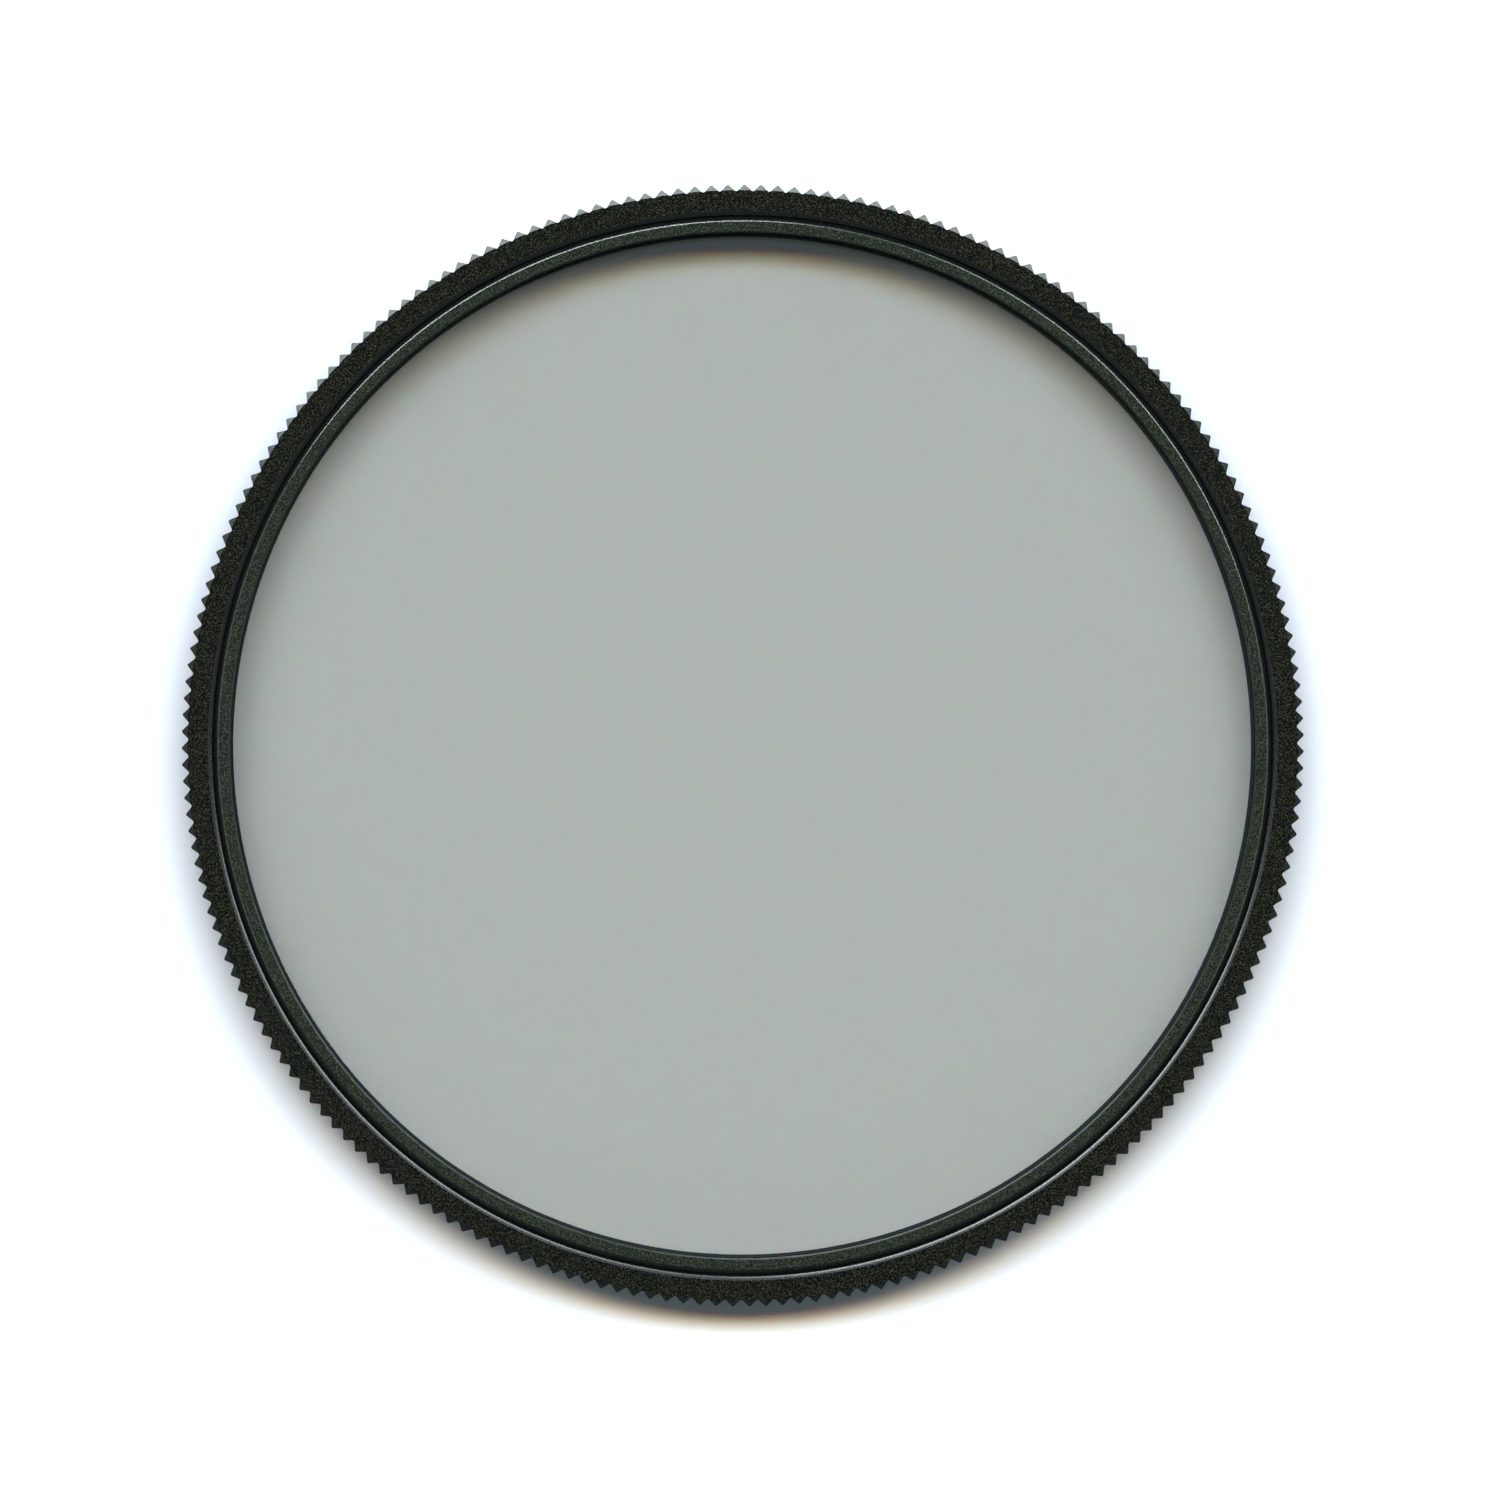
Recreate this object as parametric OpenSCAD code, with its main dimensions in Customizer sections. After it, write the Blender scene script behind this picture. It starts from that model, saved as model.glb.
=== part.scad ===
// Slim rotating polarizing filter for a 77 mm lens thread.
// Millimetres. +Z runs along the optical axis, from the lens towards the
// subject. The origin is on the axis, in the plane of the thread's rear end,
// which is the face that the filter lies on when it is put down.
//
// A fixed mount ring screws into the lens. A knurled ring turns on the mount
// ring's hub and carries two cemented glasses with the polarizing film and
// the quarter-wave film between them. A split wire ring couples the two.

/* [Lens thread] */
// Outer radius of the male lens thread
thread_r = 38.46; // [38.40:0.01:38.49]
// Depth of the thread's form
thread_depth = 0.46; // [0.40:0.01:0.50]
// Length from the thread's rear end to the seat on the lens
thread_len = 3.0; // [2.6:0.1:4.0]
// Length of the plain relief between thread and seat
relief_len = 0.65; // [0.4:0.05:0.8]
// Depth to which the relief also undercuts the seat's inner corner
relief_face = 0.10; // [0.05:0.01:0.2]
// Lead chamfer at the thread's rear end
thread_chamfer = 0.35; // [0.2:0.05:0.45]
// Radius of the clear opening, the same in each ring
clear_r = 37.0; // [36.6:0.05:37.2]

/* [Mount ring] */
// Outer radius of the seat flange
flange_r = 39.9; // [39.2:0.05:40.0]
// Thickness of the seat flange
flange_t = 0.9; // [0.7:0.05:1.4]
// Radius of the hub that the knurled ring turns on
hub_r = 38.75; // [38.70:0.01:38.80]
// Height of the hub above the flange
hub_h = 1.30; // [1.20:0.05:1.5]
// Edge chamfer of the turned rings
edge_c = 0.12; // [0.05:0.01:0.15]

/* [Knurled ring] */
// Number of knurl teeth
teeth = 211; // [180:1:230]
// Radius over the knurl's tips
tip_r = 40.5; // [40.3:0.05:41.0]
// Depth of the knurl
knurl_depth = 0.47; // [0.3:0.01:0.5]
// Width of the flat on a tooth's tip
tip_w = 0.12; // [0.08:0.01:0.2]
// Width of the flat between two teeth
root_w = 0.15; // [0.08:0.01:0.2]
// Angle of the first tooth about the axis
knurl_phase = -0.6; // [-0.8:0.05:0.8]
// Height of the knurled ring
ring_h = 4.6; // [4.5:0.05:6.0]
// Width of the bevel across each end of the teeth
tooth_bevel = 0.40; // [0.2:0.05:0.45]
// Radius of the bore that takes the glass and its retaining ring
seat_r = 38.22; // [38.15:0.01:38.30]
// Width of the bevel at the front edge of that bore
bore_bevel = 0.38; // [0.2:0.01:0.6]
// Thickness of the lip that the glass rests on
lip_t = 0.40; // [0.35:0.05:0.6]

/* [Retaining ring] */
// Width of the bevel on its outer front edge
outer_bevel = 0.42; // [0.1:0.01:0.45]
// Width of the bevel on its inner front edge
inner_bevel = 0.13; // [0.05:0.01:0.3]

/* [Optics] */
// Radius of the cemented glasses and films
glass_r = 38.0; // [37.6:0.05:38.1]
// Thickness of each glass
glass_t = 0.65; // [0.5:0.05:0.8]
// Thickness of the quarter-wave film
retarder_t = 0.08; // [0.05:0.01:0.15]
// Thickness of the polarizing film
film_t = 0.12; // [0.08:0.01:0.2]

/* [Wire ring] */
// Diameter of the spring wire
wire_d = 0.6; // [0.5:0.05:0.6]
// Arc that the split wire ring covers, in degrees
wire_arc = 350; // [330:1:355]

/* [Clearance] */
// Radial running clearance between hub and knurled ring
run_gap = 0.05; // [0.02:0.01:0.08]
// Axial gap at each end of the hub
end_gap = 0.10; // [0.05:0.01:0.15]

/* [Hidden] */
$fn = 240;
eps = 0.5;

// heights along the axis
z_seat = thread_len;                 // seat on the lens
z_flange = z_seat + flange_t;        // front face of the flange
z_hub = z_flange + hub_h;            // front end of the hub
z_ring = z_flange + end_gap;         // rear end of the knurled ring
z_lip = z_hub + end_gap;             // rear face of the glass lip
z_glass = z_lip + lip_t;             // rear face of the rear glass
z_retarder = z_glass + glass_t;
z_film = z_retarder + retarder_t;
z_front = z_film + film_t;
z_retainer = z_front + glass_t;      // rear face of the retaining ring
z_top = z_ring + ring_h;             // front face of both visible rings

// the wire lies in the hub's groove, just off its floor, and reaches into the
// groove of the knurled ring
z_wire = z_flange + 0.75;
wire_r = hub_r - 0.03;
groove_floor = wire_r - wire_d/2 - 0.04;
groove_roof = wire_r + wire_d/2 + 0.08;
skirt_r = hub_r + run_gap;

root_r = tip_r - knurl_depth;
flat_r = tip_r - tooth_bevel;        // outer edge of the ring's front flat

// turned solid from its half section, given as [radius, height]
module turned(section) { rotate_extrude() polygon(section); }

// outline of the straight knurl: two points at each tip, two at each root
module knurl_outline() {
    step = 360/teeth;
    at = asin(tip_w/2/tip_r);
    ar = asin(root_w/2/root_r);
    polygon([for (i = [0:teeth-1]) let (a = knurl_phase + i*step)
        each [[tip_r*cos(a-at), tip_r*sin(a-at)],
              [tip_r*cos(a+at), tip_r*sin(a+at)],
              [root_r*cos(a+step/2-ar), root_r*sin(a+step/2-ar)],
              [root_r*cos(a+step/2+ar), root_r*sin(a+step/2+ar)]]]);
}

// fixed ring: lens thread's core, relief, seat flange and grooved hub
module mount_ring() {
    g0 = z_wire - wire_d/2 - 0.04;
    g1 = z_wire + wire_d/2 + 0.04;
    color([0.13, 0.14, 0.13])
    turned([
        [clear_r + edge_c, 0],
        [thread_r - thread_chamfer, 0],
        [thread_r, thread_chamfer],
        [thread_r, z_seat - relief_len],
        [thread_r - thread_depth, z_seat - relief_len],
        [thread_r - thread_depth, z_seat + relief_face],
        [thread_r + 0.14, z_seat + relief_face],
        [thread_r + 0.14, z_seat],
        [flange_r - edge_c, z_seat],
        [flange_r, z_seat + edge_c],
        [flange_r, z_flange - edge_c],
        [flange_r - edge_c, z_flange],
        [hub_r, z_flange],
        [hub_r, g0],
        [groove_floor, g0],
        [groove_floor, g1],
        [hub_r, g1],
        [hub_r, z_hub - edge_c],
        [hub_r - edge_c, z_hub],
        [clear_r + edge_c, z_hub],
        [clear_r, z_hub - edge_c],
        [clear_r, edge_c]
    ]);
}

// split ring of round spring wire in the groove of the hub
module spring_wire() {
    color([0.62, 0.62, 0.64])
    rotate([0, 0, 90 + (360 - wire_arc)/2])
    rotate_extrude(angle = wire_arc)
    translate([wire_r, z_wire]) circle(d = wire_d, $fn = 48);
}

// turned ring with the straight knurl, the glass seat and the wire groove
module rotating_ring() {
    g0 = z_wire - wire_d/2 - 0.10;
    g1 = z_wire + wire_d/2 + 0.10;
    color([0.12, 0.13, 0.12])
    difference() {
        translate([0, 0, z_ring]) linear_extrude(height = ring_h) knurl_outline();
        // stepped bore: skirt over the hub, wire groove, lip, glass seat
        turned([
            [0, z_ring - eps],
            [skirt_r + edge_c + eps, z_ring - eps],
            [skirt_r, z_ring + edge_c],
            [skirt_r, g0],
            [groove_roof, g0],
            [groove_roof, g1],
            [skirt_r, g1],
            [skirt_r, z_lip],
            [clear_r, z_lip],
            [clear_r, z_glass],
            [seat_r, z_glass],
            [seat_r, z_top - bore_bevel],
            [seat_r + bore_bevel + eps, z_top + eps],
            [0, z_top + eps]
        ]);
        // bevel across the front ends of the teeth
        turned([
            [flat_r - eps, z_top + eps],
            [tip_r + eps, z_top - tooth_bevel - eps],
            [tip_r + eps, z_top + eps]
        ]);
        // bevel across the rear ends of the teeth
        turned([
            [flat_r - eps, z_ring - eps],
            [tip_r + eps, z_ring - eps],
            [tip_r + eps, z_ring + tooth_bevel + eps]
        ]);
    }
}

// one disc of the cemented stack
module disc(z, t, c) { color(c) translate([0, 0, z]) cylinder(r = glass_r, h = t); }

module rear_glass() { disc(z_glass, glass_t, [0.80, 0.86, 0.83, 0.35]); }
module retarder_film() { disc(z_retarder, retarder_t, [0.78, 0.80, 0.76, 0.4]); }
module polarizing_film() { disc(z_film, film_t, [0.42, 0.46, 0.44, 0.6]); }
module front_glass() { disc(z_front, glass_t, [0.80, 0.86, 0.83, 0.35]); }

// ring that holds the glass, flush with the knurled ring's front face
module retaining_ring() {
    color([0.17, 0.19, 0.17])
    turned([
        [clear_r, z_retainer],
        [seat_r, z_retainer],
        [seat_r, z_top - outer_bevel],
        [seat_r - outer_bevel, z_top],
        [clear_r + inner_bevel, z_top],
        [clear_r, z_top - inner_bevel]
    ]);
}

mount_ring();
spring_wire();
rotating_ring();
rear_glass();
retarder_film();
polarizing_film();
front_glass();
retaining_ring();
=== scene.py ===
"""Looks of the slim rotating polarizing filter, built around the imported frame."""
import math

import bmesh
import bpy
from mathutils import Matrix, Vector


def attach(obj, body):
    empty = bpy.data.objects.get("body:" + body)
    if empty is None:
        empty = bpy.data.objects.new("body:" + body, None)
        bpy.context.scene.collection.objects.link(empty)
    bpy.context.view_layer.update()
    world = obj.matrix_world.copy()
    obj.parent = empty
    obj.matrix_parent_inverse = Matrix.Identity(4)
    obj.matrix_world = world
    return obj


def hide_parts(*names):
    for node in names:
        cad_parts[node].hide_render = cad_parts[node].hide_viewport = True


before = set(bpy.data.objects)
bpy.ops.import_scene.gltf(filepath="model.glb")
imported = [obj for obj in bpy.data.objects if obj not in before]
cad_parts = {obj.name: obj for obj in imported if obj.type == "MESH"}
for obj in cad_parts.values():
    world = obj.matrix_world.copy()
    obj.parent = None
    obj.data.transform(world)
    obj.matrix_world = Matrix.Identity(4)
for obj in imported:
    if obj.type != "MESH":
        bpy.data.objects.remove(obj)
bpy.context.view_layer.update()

MM = 0.001

# ---------------------------------------------------------------- dimensions
# the same as in the CAD source, in millimetres
THREAD_R, THREAD_D, PITCH = 38.46, 0.46, 0.75
Z_SEAT, Z_FLANGE, Z_HUB = 3.0, 3.9, 5.2
Z_RING, Z_LIP, Z_GLASS = 4.0, 5.3, 5.7
Z_RETARDER, Z_FILM, Z_FRONT, Z_RETAINER, Z_TOP = 6.35, 6.43, 6.55, 7.2, 8.6
CLEAR_R, HUB_R, SKIRT_R, FLANGE_R = 37.0, 38.75, 38.8, 39.9
SEAT_R, BORE_BEVEL, OUT_BEVEL, IN_BEVEL = 38.22, 0.38, 0.42, 0.13
TIP_R, ROOT_R, FLAT_R = 40.5, 40.03, 40.1
TEETH, PHASE = 211, -0.6
GLASS_R = 38.0
WIRE_R, WIRE_Z, WIRE_D, WIRE_ARC = 38.72, 4.65, 0.6, 350.0


# ------------------------------------------------------------------- meshing
def soften(points, size, closed=True, steps=2):
    """A (r, z, mark) outline with each marked corner turned into a small arc.

    size: arc's tangent length in mm for points whose third entry is true."""
    out = []
    n = len(points)
    for i, p in enumerate(points):
        e = p[2] if len(p) > 2 else size
        if not closed and i in (0, n - 1):
            e = 0
        if not e:
            out.append((p[0], p[1]))
            continue
        a = Vector(points[i - 1][:2]) - Vector(p[:2])
        b = Vector(points[(i + 1) % n][:2]) - Vector(p[:2])
        e = min(e, a.length * 0.45, b.length * 0.45)
        a, b = Vector(p[:2]) + a.normalized() * e, Vector(p[:2]) + b.normalized() * e
        c = Vector(p[:2])
        for k in range(steps + 1):
            t = k / steps
            q = a * (1 - t) ** 2 + c * 2 * t * (1 - t) + b * t * t
            out.append((q.x, q.y))
    return out


def finish_mesh(bm, name, materials, sharp=32.0):
    bmesh.ops.remove_doubles(bm, verts=bm.verts, dist=2e-8)
    bmesh.ops.dissolve_degenerate(bm, edges=bm.edges, dist=1e-8)
    bmesh.ops.recalc_face_normals(bm, faces=bm.faces)
    me = bpy.data.meshes.new(name)
    for f in bm.faces:
        f.smooth = True
    bm.to_mesh(me)
    bm.free()
    me.set_sharp_from_angle(angle=math.radians(sharp))
    # hard edges round the level faces and the cut bevels, so that they shade flat
    seen = {}
    for f in me.polygons:
        kind = (abs(f.normal.z) > 0.9999, f.material_index)
        for li in f.loop_indices:
            edge = me.loops[li].edge_index
            if seen.setdefault(edge, kind) != kind:
                me.edges[edge].use_edge_sharp = True
    for m in materials:
        me.materials.append(m)
    ob = bpy.data.objects.new(name, me)
    bpy.context.scene.collection.objects.link(ob)
    return ob


def lathe(name, outline, materials, cut_bands=(), segments=720, start=0.0, arc=360.0):
    """Turns a closed (r, z) outline about Z. cut_bands: (r0, z0, r1, z1, index)
    boxes in which a face's middle gets the material of that index."""
    bm = bmesh.new()
    full = arc >= 360.0
    rings = []
    count = segments if full else segments + 1
    for j in range(count):
        a = math.radians(start + arc * j / segments)
        c, s = math.cos(a), math.sin(a)
        rings.append([bm.verts.new((r * c * MM, r * s * MM, z * MM)) for r, z in outline])
    n = len(outline)
    for j in range(segments):
        p, q = rings[j], rings[(j + 1) % count]
        for i in range(n):
            k = (i + 1) % n
            f = bm.faces.new((p[i], q[i], q[k], p[k]))
            r = (outline[i][0] + outline[k][0]) / 2
            z = (outline[i][1] + outline[k][1]) / 2
            for r0, z0, r1, z1, index in cut_bands:
                if r0 <= r <= r1 and z0 <= z <= z1:
                    f.material_index = index
    if not full:
        bm.faces.new(rings[0])
        bm.faces.new(list(reversed(rings[-1])))
    return finish_mesh(bm, name, materials)


# ----------------------------------------------------------------- materials
def new_material(name):
    m = bpy.data.materials.new(name)
    m.use_nodes = True
    nt = m.node_tree
    nt.nodes.clear()
    out = nt.nodes.new("ShaderNodeOutputMaterial")
    return m, nt, out


def coords(nt):
    return nt.nodes.new("ShaderNodeTexCoord").outputs["Object"]


def noise(nt, vec, scale, detail=2.0, rough=0.5):
    n = nt.nodes.new("ShaderNodeTexNoise")
    n.inputs["Scale"].default_value = scale
    n.inputs["Detail"].default_value = detail
    n.inputs["Roughness"].default_value = rough
    nt.links.new(vec, n.inputs["Vector"])
    return n.outputs["Fac"]


def remap(nt, value, a, b, c, d):
    m = nt.nodes.new("ShaderNodeMapRange")
    nt.links.new(value, m.inputs["Value"])
    for k, v in zip(("From Min", "From Max", "To Min", "To Max"), (a, b, c, d)):
        m.inputs[k].default_value = v
    return m.outputs["Result"]


def ramp(nt, value, stops):
    r = nt.nodes.new("ShaderNodeValToRGB")
    els = r.color_ramp.elements
    while len(els) < len(stops):
        els.new(0.5)
    for e, (pos, col) in zip(els, stops):
        e.position = pos
        e.color = (*col, 1)
    nt.links.new(value, r.inputs["Fac"])
    return r.outputs["Color"]


def math_node(nt, op, a, b):
    m = nt.nodes.new("ShaderNodeMath")
    m.operation = op
    for i, v in enumerate((a, b)):
        if isinstance(v, (int, float)):
            m.inputs[i].default_value = v
        else:
            nt.links.new(v, m.inputs[i])
    return m.outputs[0]


def anodised(name, dark, light, fleck, rough, spec, grain=0.5, turned=0.0):
    """Black anodised aluminium: a fine blasted grain of three tones, sparse paler
    flecks and a grain in the normal; turned adds faint turning lines."""
    m, nt, out = new_material(name)
    p = nt.nodes.new("ShaderNodeBsdfPrincipled")
    nt.links.new(p.outputs[0], out.inputs["Surface"])
    # turned away from the axes, so that the grain shows no rows
    turn = nt.nodes.new("ShaderNodeMapping")
    turn.inputs["Rotation"].default_value = (0.62, 0.41, 0.27)
    nt.links.new(coords(nt), turn.inputs["Vector"])
    v = turn.outputs["Vector"]
    fine = noise(nt, v, 9000.0, 2.0, 0.65)
    tone = ramp(nt, fine, [(0.42, dark), (0.535, light), (0.645, fleck)])
    drift = ramp(nt, noise(nt, v, 4600.0, 1.0, 0.5),
                 [(0.38, (1.07, 0.985, 0.90)), (0.5, (1.0, 1.0, 1.0)), (0.62, (0.93, 1.02, 1.02))])
    mul = nt.nodes.new("ShaderNodeMix")
    mul.data_type = "RGBA"
    mul.blend_type = "MULTIPLY"
    mul.inputs["Factor"].default_value = 1.0
    nt.links.new(tone, mul.inputs["A"])
    nt.links.new(drift, mul.inputs["B"])
    nt.links.new(mul.outputs["Result"], p.inputs["Base Color"])
    nt.links.new(remap(nt, fine, 0.3, 0.7, rough + 0.08, rough - 0.08), p.inputs["Roughness"])
    p.inputs["Specular IOR Level"].default_value = spec
    height = fine
    if turned:
        sep = nt.nodes.new("ShaderNodeSeparateXYZ")
        nt.links.new(coords(nt), sep.inputs[0])
        rr = math_node(nt, "SQRT", math_node(nt, "ADD",
                       math_node(nt, "MULTIPLY", sep.outputs[0], sep.outputs[0]),
                       math_node(nt, "MULTIPLY", sep.outputs[1], sep.outputs[1])), 0)
        comb = nt.nodes.new("ShaderNodeCombineXYZ")
        nt.links.new(rr, comb.inputs[0])
        nt.links.new(sep.outputs[2], comb.inputs[1])
        lines = noise(nt, comb.outputs[0], 12000.0, 1.0, 0.5)
        height = math_node(nt, "ADD", math_node(nt, "MULTIPLY", fine, 1 - turned),
                           math_node(nt, "MULTIPLY", lines, turned))
    b = nt.nodes.new("ShaderNodeBump")
    b.inputs["Strength"].default_value = grain
    b.inputs["Distance"].default_value = 0.00002
    nt.links.new(height, b.inputs["Height"])
    nt.links.new(b.outputs[0], p.inputs["Normal"])
    return m


M_RING = anodised("ring_matt", (0.0003, 0.0005, 0.0002), (0.0040, 0.0046, 0.0029),
                  (0.0226, 0.0236, 0.0157), 0.68, 0.022, 0.5)
M_RING_CUT = anodised("ring_cut", (0.0050, 0.0058, 0.0045), (0.0085, 0.0098, 0.0078),
                      (0.0160, 0.0180, 0.0150), 0.32, 0.46, 0.12, 0.6)
M_RING_BORE = anodised("ring_bore_cut", (0.0012, 0.0018, 0.0014), (0.0025, 0.0036, 0.0028),
                       (0.0060, 0.0075, 0.0064), 0.29, 0.56, 0.10, 0.6)
M_RING_SIDE = anodised("ring_satin", (0.0100, 0.0110, 0.0093), (0.0210, 0.0230, 0.0197),
                       (0.0520, 0.0545, 0.0482), 0.42, 0.50, 0.35, 0.4)
M_RETAINER = anodised("retainer_matt", (0.0052, 0.0075, 0.0048), (0.0175, 0.0215, 0.0144),
                      (0.0469, 0.0535, 0.0373), 0.66, 0.03, 0.5)
M_RETAINER_CUT = anodised("retainer_cut", (0.0036, 0.0054, 0.0042), (0.0072, 0.0104, 0.0082),
                          (0.0140, 0.0180, 0.0150), 0.30, 0.46, 0.12, 0.6)
M_RETAINER_IN = anodised("retainer_inner_cut", (0.0045, 0.0062, 0.0050), (0.0080, 0.0110, 0.0090),
                         (0.0180, 0.0220, 0.0190), 0.38, 0.13, 0.12, 0.6)
M_MOUNT = anodised("mount_satin", (0.008, 0.0085, 0.008), (0.015, 0.016, 0.015),
                   (0.035, 0.036, 0.035), 0.42, 0.4, 0.3, 0.7)
M_MOUNT_CUT = anodised("mount_cut", (0.010, 0.011, 0.010), (0.017, 0.018, 0.017),
                       (0.04, 0.04, 0.04), 0.30, 0.6, 0.2, 0.8)


def bore_black():
    """The dead matt black of the walls round the clear opening."""
    m, nt, out = new_material("bore_black")
    p = nt.nodes.new("ShaderNodeBsdfPrincipled")
    nt.links.new(p.outputs[0], out.inputs["Surface"])
    n = noise(nt, coords(nt), 4000.0, 2.0, 0.6)
    nt.links.new(ramp(nt, n, [(0.35, (0.0012, 0.0015, 0.0013)), (0.65, (0.0042, 0.0050, 0.0044))]),
                 p.inputs["Base Color"])
    p.inputs["Roughness"].default_value = 0.95
    p.inputs["Specular IOR Level"].default_value = 0.0
    return m


def steel():
    m, nt, out = new_material("wire_drawn")
    p = nt.nodes.new("ShaderNodeBsdfPrincipled")
    nt.links.new(p.outputs[0], out.inputs["Surface"])
    v = coords(nt)
    n = noise(nt, v, 6000.0, 3.0, 0.6)
    nt.links.new(ramp(nt, n, [(0.35, (0.34, 0.34, 0.36)), (0.65, (0.52, 0.52, 0.54))]),
                 p.inputs["Base Color"])
    nt.links.new(remap(nt, n, 0.3, 0.7, 0.22, 0.36), p.inputs["Roughness"])
    p.inputs["Metallic"].default_value = 1.0
    b = nt.nodes.new("ShaderNodeBump")
    b.inputs["Strength"].default_value = 0.2
    b.inputs["Distance"].default_value = 0.00001
    nt.links.new(n, b.inputs["Height"])
    nt.links.new(b.outputs[0], p.inputs["Normal"])
    return m


def clear_face(name, tint, share, coat):
    """A polished glass-air face: see-through, with the faint coloured mirror of
    its coating. share: how much of the plain Fresnel reflection is left."""
    m, nt, out = new_material(name)
    t = nt.nodes.new("ShaderNodeBsdfTransparent")
    t.inputs["Color"].default_value = (*tint, 1)
    g = nt.nodes.new("ShaderNodeBsdfGlossy")
    v = coords(nt)
    n = noise(nt, v, 60.0, 2.0, 0.5)
    nt.links.new(ramp(nt, n, [(0.3, coat), (0.7, tuple(c * 0.9 for c in coat))]), g.inputs["Color"])
    g.inputs["Roughness"].default_value = 0.0
    fr = nt.nodes.new("ShaderNodeFresnel")
    fr.inputs["IOR"].default_value = 1.5
    fac = math_node(nt, "MULTIPLY", fr.outputs[0], share)
    mix = nt.nodes.new("ShaderNodeMixShader")
    nt.links.new(fac, mix.inputs[0])
    nt.links.new(t.outputs[0], mix.inputs[1])
    nt.links.new(g.outputs[0], mix.inputs[2])
    nt.links.new(mix.outputs[0], out.inputs["Surface"])
    return m


def film_face(name, tint, haze=None, share=0.0):
    """A film's face: it passes tint and scatters a little light back."""
    m, nt, out = new_material(name)
    t = nt.nodes.new("ShaderNodeBsdfTransparent")
    if haze is None:
        t.inputs["Color"].default_value = (*tint, 1)
        nt.links.new(t.outputs[0], out.inputs["Surface"])
        return m
    d = nt.nodes.new("ShaderNodeBsdfDiffuse")
    n = noise(nt, coords(nt), 45.0, 2.0, 0.5)
    nt.links.new(ramp(nt, n, [(0.3, tuple(c * 0.997 for c in tint)), (0.7, tint)]), t.inputs["Color"])
    d.inputs["Color"].default_value = (*haze, 1)
    mix = nt.nodes.new("ShaderNodeMixShader")
    mix.inputs[0].default_value = share
    nt.links.new(t.outputs[0], mix.inputs[1])
    nt.links.new(d.outputs[0], mix.inputs[2])
    nt.links.new(mix.outputs[0], out.inputs["Surface"])
    return m


def glass_edge():
    """The ground and blackened rim of the cemented discs."""
    m, nt, out = new_material("glass_rim")
    p = nt.nodes.new("ShaderNodeBsdfPrincipled")
    nt.links.new(p.outputs[0], out.inputs["Surface"])
    n = noise(nt, coords(nt), 3000.0, 3.0, 0.6)
    nt.links.new(ramp(nt, n, [(0.3, (0.02, 0.022, 0.021)), (0.7, (0.05, 0.053, 0.05))]),
                 p.inputs["Base Color"])
    p.inputs["Roughness"].default_value = 0.8
    return m


M_STEEL = steel()
M_BORE = bore_black()
M_GLASS_AIR = clear_face("glass_coated", (0.99, 0.995, 0.99), 0.45, (0.62, 0.85, 0.72))
M_GLASS_IN = film_face("glass_cemented", (0.998, 1.0, 0.999))
M_POL = film_face("polarizer_face", (0.655, 0.645, 0.609), (0.42, 0.48, 0.50), 0.05)
M_POL_BACK = film_face("polarizer_back", (1.0, 1.0, 1.0))
M_QWP = film_face("retarder_face", (0.995, 0.996, 0.99))
M_RIM = glass_edge()

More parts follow.
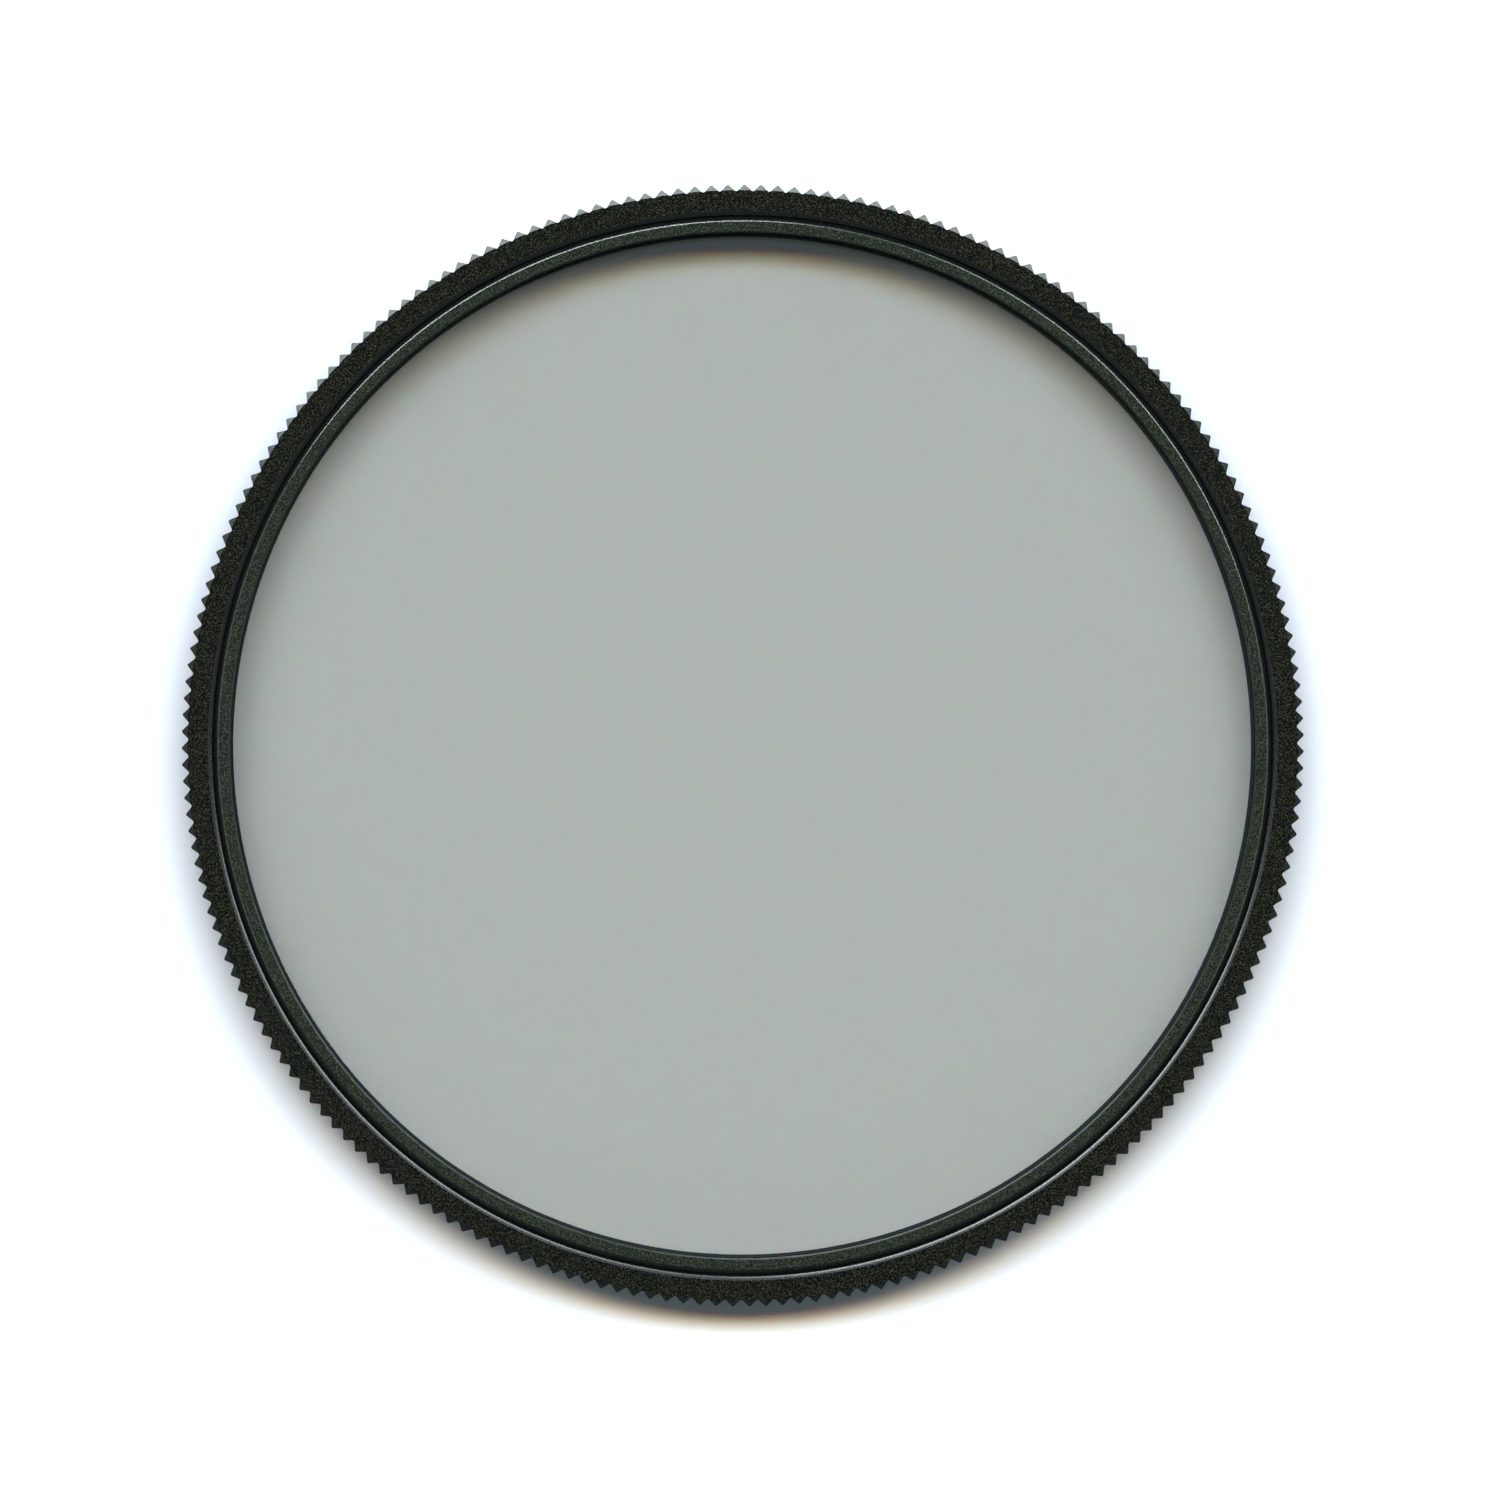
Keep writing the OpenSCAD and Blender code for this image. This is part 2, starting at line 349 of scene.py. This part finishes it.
# ------------------------------------------------------------- rotating ring
def build_ring():
    """The knurled ring: outer strip with true teeth and bevels, coarser inside."""
    pitch = 2 * math.pi / TEETH
    mid = 40.27
    half = [(0.0, TIP_R), (0.045, TIP_R - 0.004), (0.082, TIP_R - 0.026),
            (0.458, FLAT_R), (0.500, 40.062), (0.555, 40.036)]
    tooth = [(s / mid, r) for s, r in half] + [(pitch / 2, ROOT_R)] \
        + [(pitch - s / mid, r) for s, r in reversed(half[1:])]
    per = len(tooth)  # 12
    cols = [(math.radians(PHASE) + k * pitch + a, r) for k in range(TEETH) for a, r in tooth]

    e = 0.018  # break on the sharp edges

    def end_points(r, top):
        """Points of one column from the wall, over the bevel, to the flat."""
        b = max(r - FLAT_R, 0.0)
        rr = min(r, FLAT_R)
        pts = [(r, b + e), (r - 0.3 * e, b + 0.3 * e), (rr + 0.3 * e * (b > 0) - 0.3 * e * (b <= 0), 0.3 * e),
               (rr - e, 0.0)]
        if b <= 0:
            pts = [(r, e), (r - 0.3 * e, 0.3 * e), (r - 0.3 * e, 0.3 * e), (r - e, 0.0)]
        if top:
            return [(p, Z_TOP - h) for p, h in pts]
        return [(p, Z_RING + h) for p, h in pts]

    bm = bmesh.new()
    strips = []
    for a, r in cols:
        top = end_points(r, True)
        low = end_points(r, False)
        line = list(reversed(top)) + low  # flat(top) ... wall ... flat(rear)
        c, s = math.cos(a), math.sin(a)
        strips.append([bm.verts.new((p * c * MM, p * s * MM, z * MM)) for p, z in line])
    n = len(strips)
    for j in range(n):
        p, q = strips[j], strips[(j + 1) % n]
        for i in range(len(p) - 1):
            f = bm.faces.new((p[i], p[i + 1], q[i + 1], q[i]))
            if i in (1, 5):
                f.material_index = 1
            elif i == 3:
                f.material_index = 2

    inner = soften([
        (SEAT_R + BORE_BEVEL, Z_TOP, 0.015),
        (SEAT_R + 0.115, Z_TOP - 0.155, 0.03),  # the bevel's upper part lies flatter
        (SEAT_R, Z_TOP - BORE_BEVEL, 0.015),
        (SEAT_R, Z_GLASS, 0.02),
        (CLEAR_R, Z_GLASS, 0.02),
        (CLEAR_R, Z_LIP, 0.02),
        (SKIRT_R, Z_LIP, 0.03),
        (SKIRT_R, WIRE_Z + 0.4, 0.02),
        (39.1, WIRE_Z + 0.4, 0.03),
        (39.1, WIRE_Z - 0.4, 0.03),
        (SKIRT_R, WIRE_Z - 0.4, 0.02),
        (SKIRT_R, Z_RING + 0.12, 0.015),
        (SKIRT_R + 0.12, Z_RING, 0.015)], 0.02, closed=True)
    per_in = per // 3
    m = TEETH * per_in
    rows = []
    for j in range(m):
        a = cols[j * 3][0]
        c, s = math.cos(a), math.sin(a)
        rows.append([bm.verts.new((r * c * MM, r * s * MM, z * MM)) for r, z in inner])
    for j in range(m):
        p, q = rows[j], rows[(j + 1) % m]
        for i in range(len(inner) - 1):
            f = bm.faces.new((p[i], q[i], q[i + 1], p[i + 1]))
            r = (inner[i][0] + inner[i + 1][0]) / 2
            z = (inner[i][1] + inner[i + 1][1]) / 2
            if SEAT_R < r < SEAT_R + BORE_BEVEL and z > Z_TOP - BORE_BEVEL:
                f.material_index = 3
            elif r < CLEAR_R + 0.01:
                f.material_index = 4
        # flats: three outer segments to one inner segment
        for end, k in ((0, 0), (-1, -1)):
            o = [strips[(3 * j + t) % n][end] for t in range(4)]
            u, v = p[k], q[k]
            bm.faces.new((u, o[0], o[1]))
            bm.faces.new((u, o[1], o[2], v))
            bm.faces.new((v, o[2], o[3]))
    return finish_mesh(bm, "knurled_ring", [M_RING, M_RING_CUT, M_RING_SIDE, M_RING_BORE, M_BORE])


ring = build_ring()
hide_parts("rotating_ring")
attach(ring, "rotor")

# ------------------------------------------------------------ retaining ring
r_out = SEAT_R - 0.02
retainer_outline = soften([
    (CLEAR_R, Z_RETAINER, 0.02),
    (r_out, Z_RETAINER, 0.03),
    (r_out, Z_TOP - 0.52, 0.012),
    (SEAT_R - 0.08, Z_TOP - 0.48, 0.012),  # the bevel's lower part is steeper
    (SEAT_R - 0.13, Z_TOP - 0.26, 0.02),
    (SEAT_R - OUT_BEVEL + 0.05, Z_TOP, 0.012),
    (CLEAR_R + IN_BEVEL, Z_TOP, 0.012),
    (CLEAR_R, Z_TOP - IN_BEVEL, 0.012)], 0.012)
retainer = lathe("retainer", retainer_outline,
                 [M_RETAINER, M_RETAINER_CUT, M_RETAINER_IN, M_BORE],
                 [(SEAT_R - OUT_BEVEL, Z_TOP - 0.52, SEAT_R, Z_TOP - 0.004, 1),
                  (CLEAR_R, Z_TOP - IN_BEVEL, CLEAR_R + IN_BEVEL, Z_TOP - 0.004, 2),
                  (CLEAR_R - 0.01, Z_RETAINER, CLEAR_R + 0.001, Z_TOP - IN_BEVEL, 3)])
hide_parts("retaining_ring")
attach(retainer, "rotor")


# -------------------------------------------------------------- glass stack
def disc(name, node, z0, z1, low, high, chamfer=0.08, gap=0.002):
    """One disc of the stack: flat faces low and high, a chamfered ground rim."""
    z0, z1 = z0 + gap, z1 - gap
    c = min(chamfer, (z1 - z0) * 0.3)
    bm = bmesh.new()
    seg = 360
    rows = [(GLASS_R - c, z0), (GLASS_R, z0 + c), (GLASS_R, z1 - c), (GLASS_R - c, z1)]
    rings = []
    for j in range(seg):
        a = 2 * math.pi * j / seg
        rings.append([bm.verts.new((r * math.cos(a) * MM, r * math.sin(a) * MM, z * MM))
                      for r, z in rows])
    for j in range(seg):
        p, q = rings[j], rings[(j + 1) % seg]
        for i in range(len(rows) - 1):
            bm.faces.new((p[i], q[i], q[i + 1], p[i + 1])).material_index = 2
    # each face as rings of quads about a middle fan, so that it shades evenly
    for end, mat, z in ((0, 0, z0), (3, 1, z1)):
        last = [r[end] for r in rings]
        for rad in (30.0, 18.0, 8.0):
            step = [bm.verts.new((rad * math.cos(2 * math.pi * j / seg) * MM,
                                  rad * math.sin(2 * math.pi * j / seg) * MM, z * MM))
                    for j in range(seg)]
            for j in range(seg):
                k = (j + 1) % seg
                bm.faces.new((last[j], step[j], step[k], last[k])).material_index = mat
            last = step
        mid = bm.verts.new((0, 0, z * MM))
        for j in range(seg):
            bm.faces.new((last[j], mid, last[(j + 1) % seg])).material_index = mat
    ob = finish_mesh(bm, name, [low, high, M_RIM])
    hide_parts(node)
    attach(ob, "rotor")
    # clear panes let the light through; the film between them dims it
    if node != "polarizing_film":
        ob.visible_shadow = False
        ob.visible_diffuse = False
    return ob


disc("glass_rear", "rear_glass", Z_GLASS, Z_RETARDER, M_GLASS_AIR, M_GLASS_IN)
disc("film_retarder", "retarder_film", Z_RETARDER, Z_FILM, M_QWP, M_QWP)
disc("film_polarizer", "polarizing_film", Z_FILM, Z_FRONT, M_POL_BACK, M_POL)
disc("glass_front", "front_glass", Z_FRONT, Z_RETAINER, M_GLASS_IN, M_GLASS_AIR)


# --------------------------------------------------------------- mount ring
def build_mount():
    """The fixed ring, with its helical 0.75 mm thread cut in the outline."""
    # one turn of the thread's form: share of the pitch and depth under the crest
    form = [(0.0, 0.0), (0.045, 0.0), (0.068, 0.008), (0.12, 0.070), (0.20, 0.174),
            (0.29, 0.291), (0.37, 0.395), (0.405, 0.438), (0.432, 0.454), (0.50, 0.46)]
    form += [(1 - u, d) for u, d in reversed(form[1:-1])]
    m = len(form)

    def depth(u):
        u %= 1.0
        for i in range(m):
            u0, d0 = form[i]
            u1, d1 = form[i + 1] if i + 1 < m else (1.0, 0.0)
            if u <= u1:
                return d0 + (d1 - d0) * (u - u0) / (u1 - u0)
        return 0.0

    z0, z1 = 0.02, Z_SEAT - 0.65

    def outer(z, a):
        """Thread's radius at height z and turn a, under the lead chamfer."""
        r = THREAD_R - depth(z / PITCH - a)
        return max(min(r, THREAD_R - 0.35 + z), THREAD_R - THREAD_D)

    tail = soften([
        (THREAD_R - THREAD_D, z1, 0.0),
        (THREAD_R - THREAD_D, Z_SEAT + 0.1, 0.03),
        (THREAD_R + 0.14, Z_SEAT + 0.1, 0.02),
        (THREAD_R + 0.14, Z_SEAT, 0.015),
        (FLANGE_R - 0.12, Z_SEAT, 0.015),
        (FLANGE_R, Z_SEAT + 0.12, 0.015),
        (FLANGE_R, Z_FLANGE - 0.12, 0.015),
        (FLANGE_R - 0.12, Z_FLANGE, 0.015),
        (HUB_R, Z_FLANGE, 0.03),
        (HUB_R, WIRE_Z - 0.34, 0.015),
        (WIRE_R - 0.34, WIRE_Z - 0.34, 0.03),
        (WIRE_R - 0.34, WIRE_Z + 0.34, 0.03),
        (HUB_R, WIRE_Z + 0.34, 0.015),
        (HUB_R, Z_HUB - 0.12, 0.015),
        (HUB_R - 0.12, Z_HUB, 0.015),
        (CLEAR_R + 0.12, Z_HUB, 0.015),
        (CLEAR_R, Z_HUB - 0.12, 0.015),
        (CLEAR_R, 0.12, 0.015),
        (CLEAR_R + 0.12, 0.0, 0.015),
        (THREAD_R - 0.35, 0.0, 0.0)], 0.02, closed=False)
    turns = int(z1 / PITCH) + 3
    seg = 480
    bm = bmesh.new()
    cols = []
    for j in range(seg + 1):
        a = j / seg
        zs = []
        for k in range(-2, turns):
            for u, _ in form:
                zs.append(min(max((k + u + a) * PITCH, z0), z1))
        line = [(outer(z, a), z) for z in zs] + tail
        c, s = math.cos(2 * math.pi * a), math.sin(2 * math.pi * a)
        if j == seg:
            c, s = 1.0, 0.0
        cols.append([bm.verts.new((r * c * MM, r * s * MM, z * MM)) for r, z in line])
    n = len(cols[0])
    n_thread = n - len(tail)
    for j in range(seg):
        p, q = cols[j], cols[j + 1]
        for i in range(n):
            k = (i + 1) % n
            f = bm.faces.new((p[i], q[i], q[k], p[k]))
            if i < n_thread:
                f.material_index = 1
            elif (p[i].co.xy.length + p[k].co.xy.length) / 2 < (CLEAR_R + 0.01) * MM:
                f.material_index = 2
    return finish_mesh(bm, "mount_ring_threaded", [M_MOUNT, M_MOUNT_CUT, M_BORE], sharp=28.0)


mount = build_mount()
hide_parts("mount_ring")
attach(mount, "mount")

# --------------------------------------------------------------- spring wire
wire_outline = [(WIRE_R + WIRE_D / 2 * math.cos(2 * math.pi * k / 20),
                 WIRE_Z + WIRE_D / 2 * math.sin(2 * math.pi * k / 20)) for k in range(20)]
wire = lathe("split_wire", wire_outline, [M_STEEL], segments=360,
             start=90 + (360 - WIRE_ARC) / 2, arc=WIRE_ARC)
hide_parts("spring_wire")
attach(wire, "mount")

# ------------------------------------------------------------ floor and light
def floor():
    m, nt, out = new_material("floor_white")
    p = nt.nodes.new("ShaderNodeBsdfPrincipled")
    nt.links.new(p.outputs[0], out.inputs["Surface"])
    p.inputs["Base Color"].default_value = (0.88, 0.88, 0.88, 1)
    p.inputs["Roughness"].default_value = 1.0
    p.inputs["Specular IOR Level"].default_value = 0.0
    bm = bmesh.new()
    bmesh.ops.create_grid(bm, x_segments=1, y_segments=1, size=3.0)
    me = bpy.data.meshes.new("floor")
    bm.to_mesh(me)
    bm.free()
    me.materials.append(m)
    ob = bpy.data.objects.new("floor", me)
    bpy.context.scene.collection.objects.link(ob)
    ob.visible_glossy = False


floor()


def area(name, direction, distance, width, height, power, colour):
    d = Vector(direction).normalized()
    li = bpy.data.lights.new(name, "AREA")
    li.shape = "RECTANGLE"
    li.size, li.size_y = width, height
    li.energy = power
    li.color = colour
    ob = bpy.data.objects.new(name, li)
    z = d
    x = Vector((d.y, -d.x, 0)).normalized()
    y = z.cross(x)
    rot = Matrix((x, y, z)).transposed().to_4x4()
    ob.matrix_world = Matrix.Translation(d * distance) @ rot
    bpy.context.scene.collection.objects.link(ob)
    return ob


def from_angle(off, azimuth=90.0):
    """Direction off degrees away from straight up, towards azimuth."""
    o, a = math.radians(off), math.radians(azimuth)
    return (math.sin(o) * math.cos(a), math.sin(o) * math.sin(a), math.cos(o))


# a long soft lamp over the top edge, a little further off for blue than for red,
# so that the shadow's end turns brown; narrow lamps within a wide one
area("key_red", from_angle(10.6), 2.0, 0.96, 0.32, 28.0, (1, 0, 0))
area("key_green", from_angle(12.0), 2.0, 0.96, 0.32, 30.0, (0, 1, 0))
area("key_blue", from_angle(13.9), 2.0, 0.96, 0.32, 33.6, (0, 0, 1))
area("key_wide", from_angle(12.2), 2.0, 2.08, 0.32, 25.5, (0.835, 0.90, 1.0))
def group(name, *obs):
    c = bpy.data.collections.new(name)
    for ob in obs:
        c.objects.link(ob)
    return c


# low strips that only the turning metal sees, for the light on its bevels
outer_metal = group("outer_metal", ring)
inner_metal = group("inner_metal", retainer)
cool = (0.885, 0.975, 0.985)
for strip, metal in (
        (area("strip", from_angle(85.5, 94.0), 0.9, 2.4, 0.14, 27.5, cool), outer_metal),
        (area("bore_right", from_angle(62.0, 46.0), 0.9, 1.10, 0.20, 8.8, cool), outer_metal),
        (area("bore_left", from_angle(62.0, 126.0), 0.9, 1.05, 0.20, 14.0, cool), outer_metal),
        (area("edge_right", from_angle(85.5, 45.0), 0.9, 0.80, 0.14, 11.5, cool), inner_metal),
        (area("edge_left", from_angle(85.5, 114.0), 0.9, 1.05, 0.14, 22.5, cool), inner_metal),
        (area("edge_side_right", from_angle(85.5, 0.0), 0.9, 1.10, 0.14, 3.2, cool), inner_metal),
        (area("edge_side_left", from_angle(85.5, 180.0), 0.9, 0.90, 0.14, 2.4, cool), inner_metal)):
    strip.light_linking.receiver_collection = metal

world = bpy.data.worlds.new("studio")
world.use_nodes = True
bg = world.node_tree.nodes["Background"]
bg.inputs["Color"].default_value = (0.78, 1.0, 1.06, 1)
bg.inputs["Strength"].default_value = 0.168
bpy.context.scene.world = world

# -------------------------------------------------------------------- camera
PX = 2 * TIP_R / (2 * 561.1)          # mm per pixel of the photograph's frame
FRAME_W = 1500 * PX
cx, cy = 742.885, 745.59              # the filter's axis in that frame
look = Vector(((750 - cx) * PX, (cy - 750) * PX, Z_TOP)) * MM
dist = 1.15
cam = bpy.data.cameras.new("camera")
cam.type = "PERSP"
cam.sensor_width = 36.0
cam.lens = 36.0 * dist / (FRAME_W * MM)
cam.clip_start, cam.clip_end = 0.05, 20.0
co = bpy.data.objects.new("camera", cam)
eye = Vector((-6.6 * MM, look.y, look.z + dist))
view_dir = (look - eye).normalized()
z = -view_dir
x = Vector((1, 0, 0))
x = (x - z * x.dot(z)).normalized()
y = z.cross(x)
co.matrix_world = Matrix.Translation(eye) @ Matrix((x, y, z)).transposed().to_4x4()
bpy.context.scene.collection.objects.link(co)
bpy.context.scene.camera = co

sc = bpy.context.scene
sc.view_settings.view_transform = "Standard"
sc.view_settings.look = "None"
sc.cycles.use_light_tree = False
sc.cycles.transparent_max_bounces = 64
sc.cycles.max_bounces = 3
sc.cycles.diffuse_bounces = 1
sc.cycles.glossy_bounces = 2
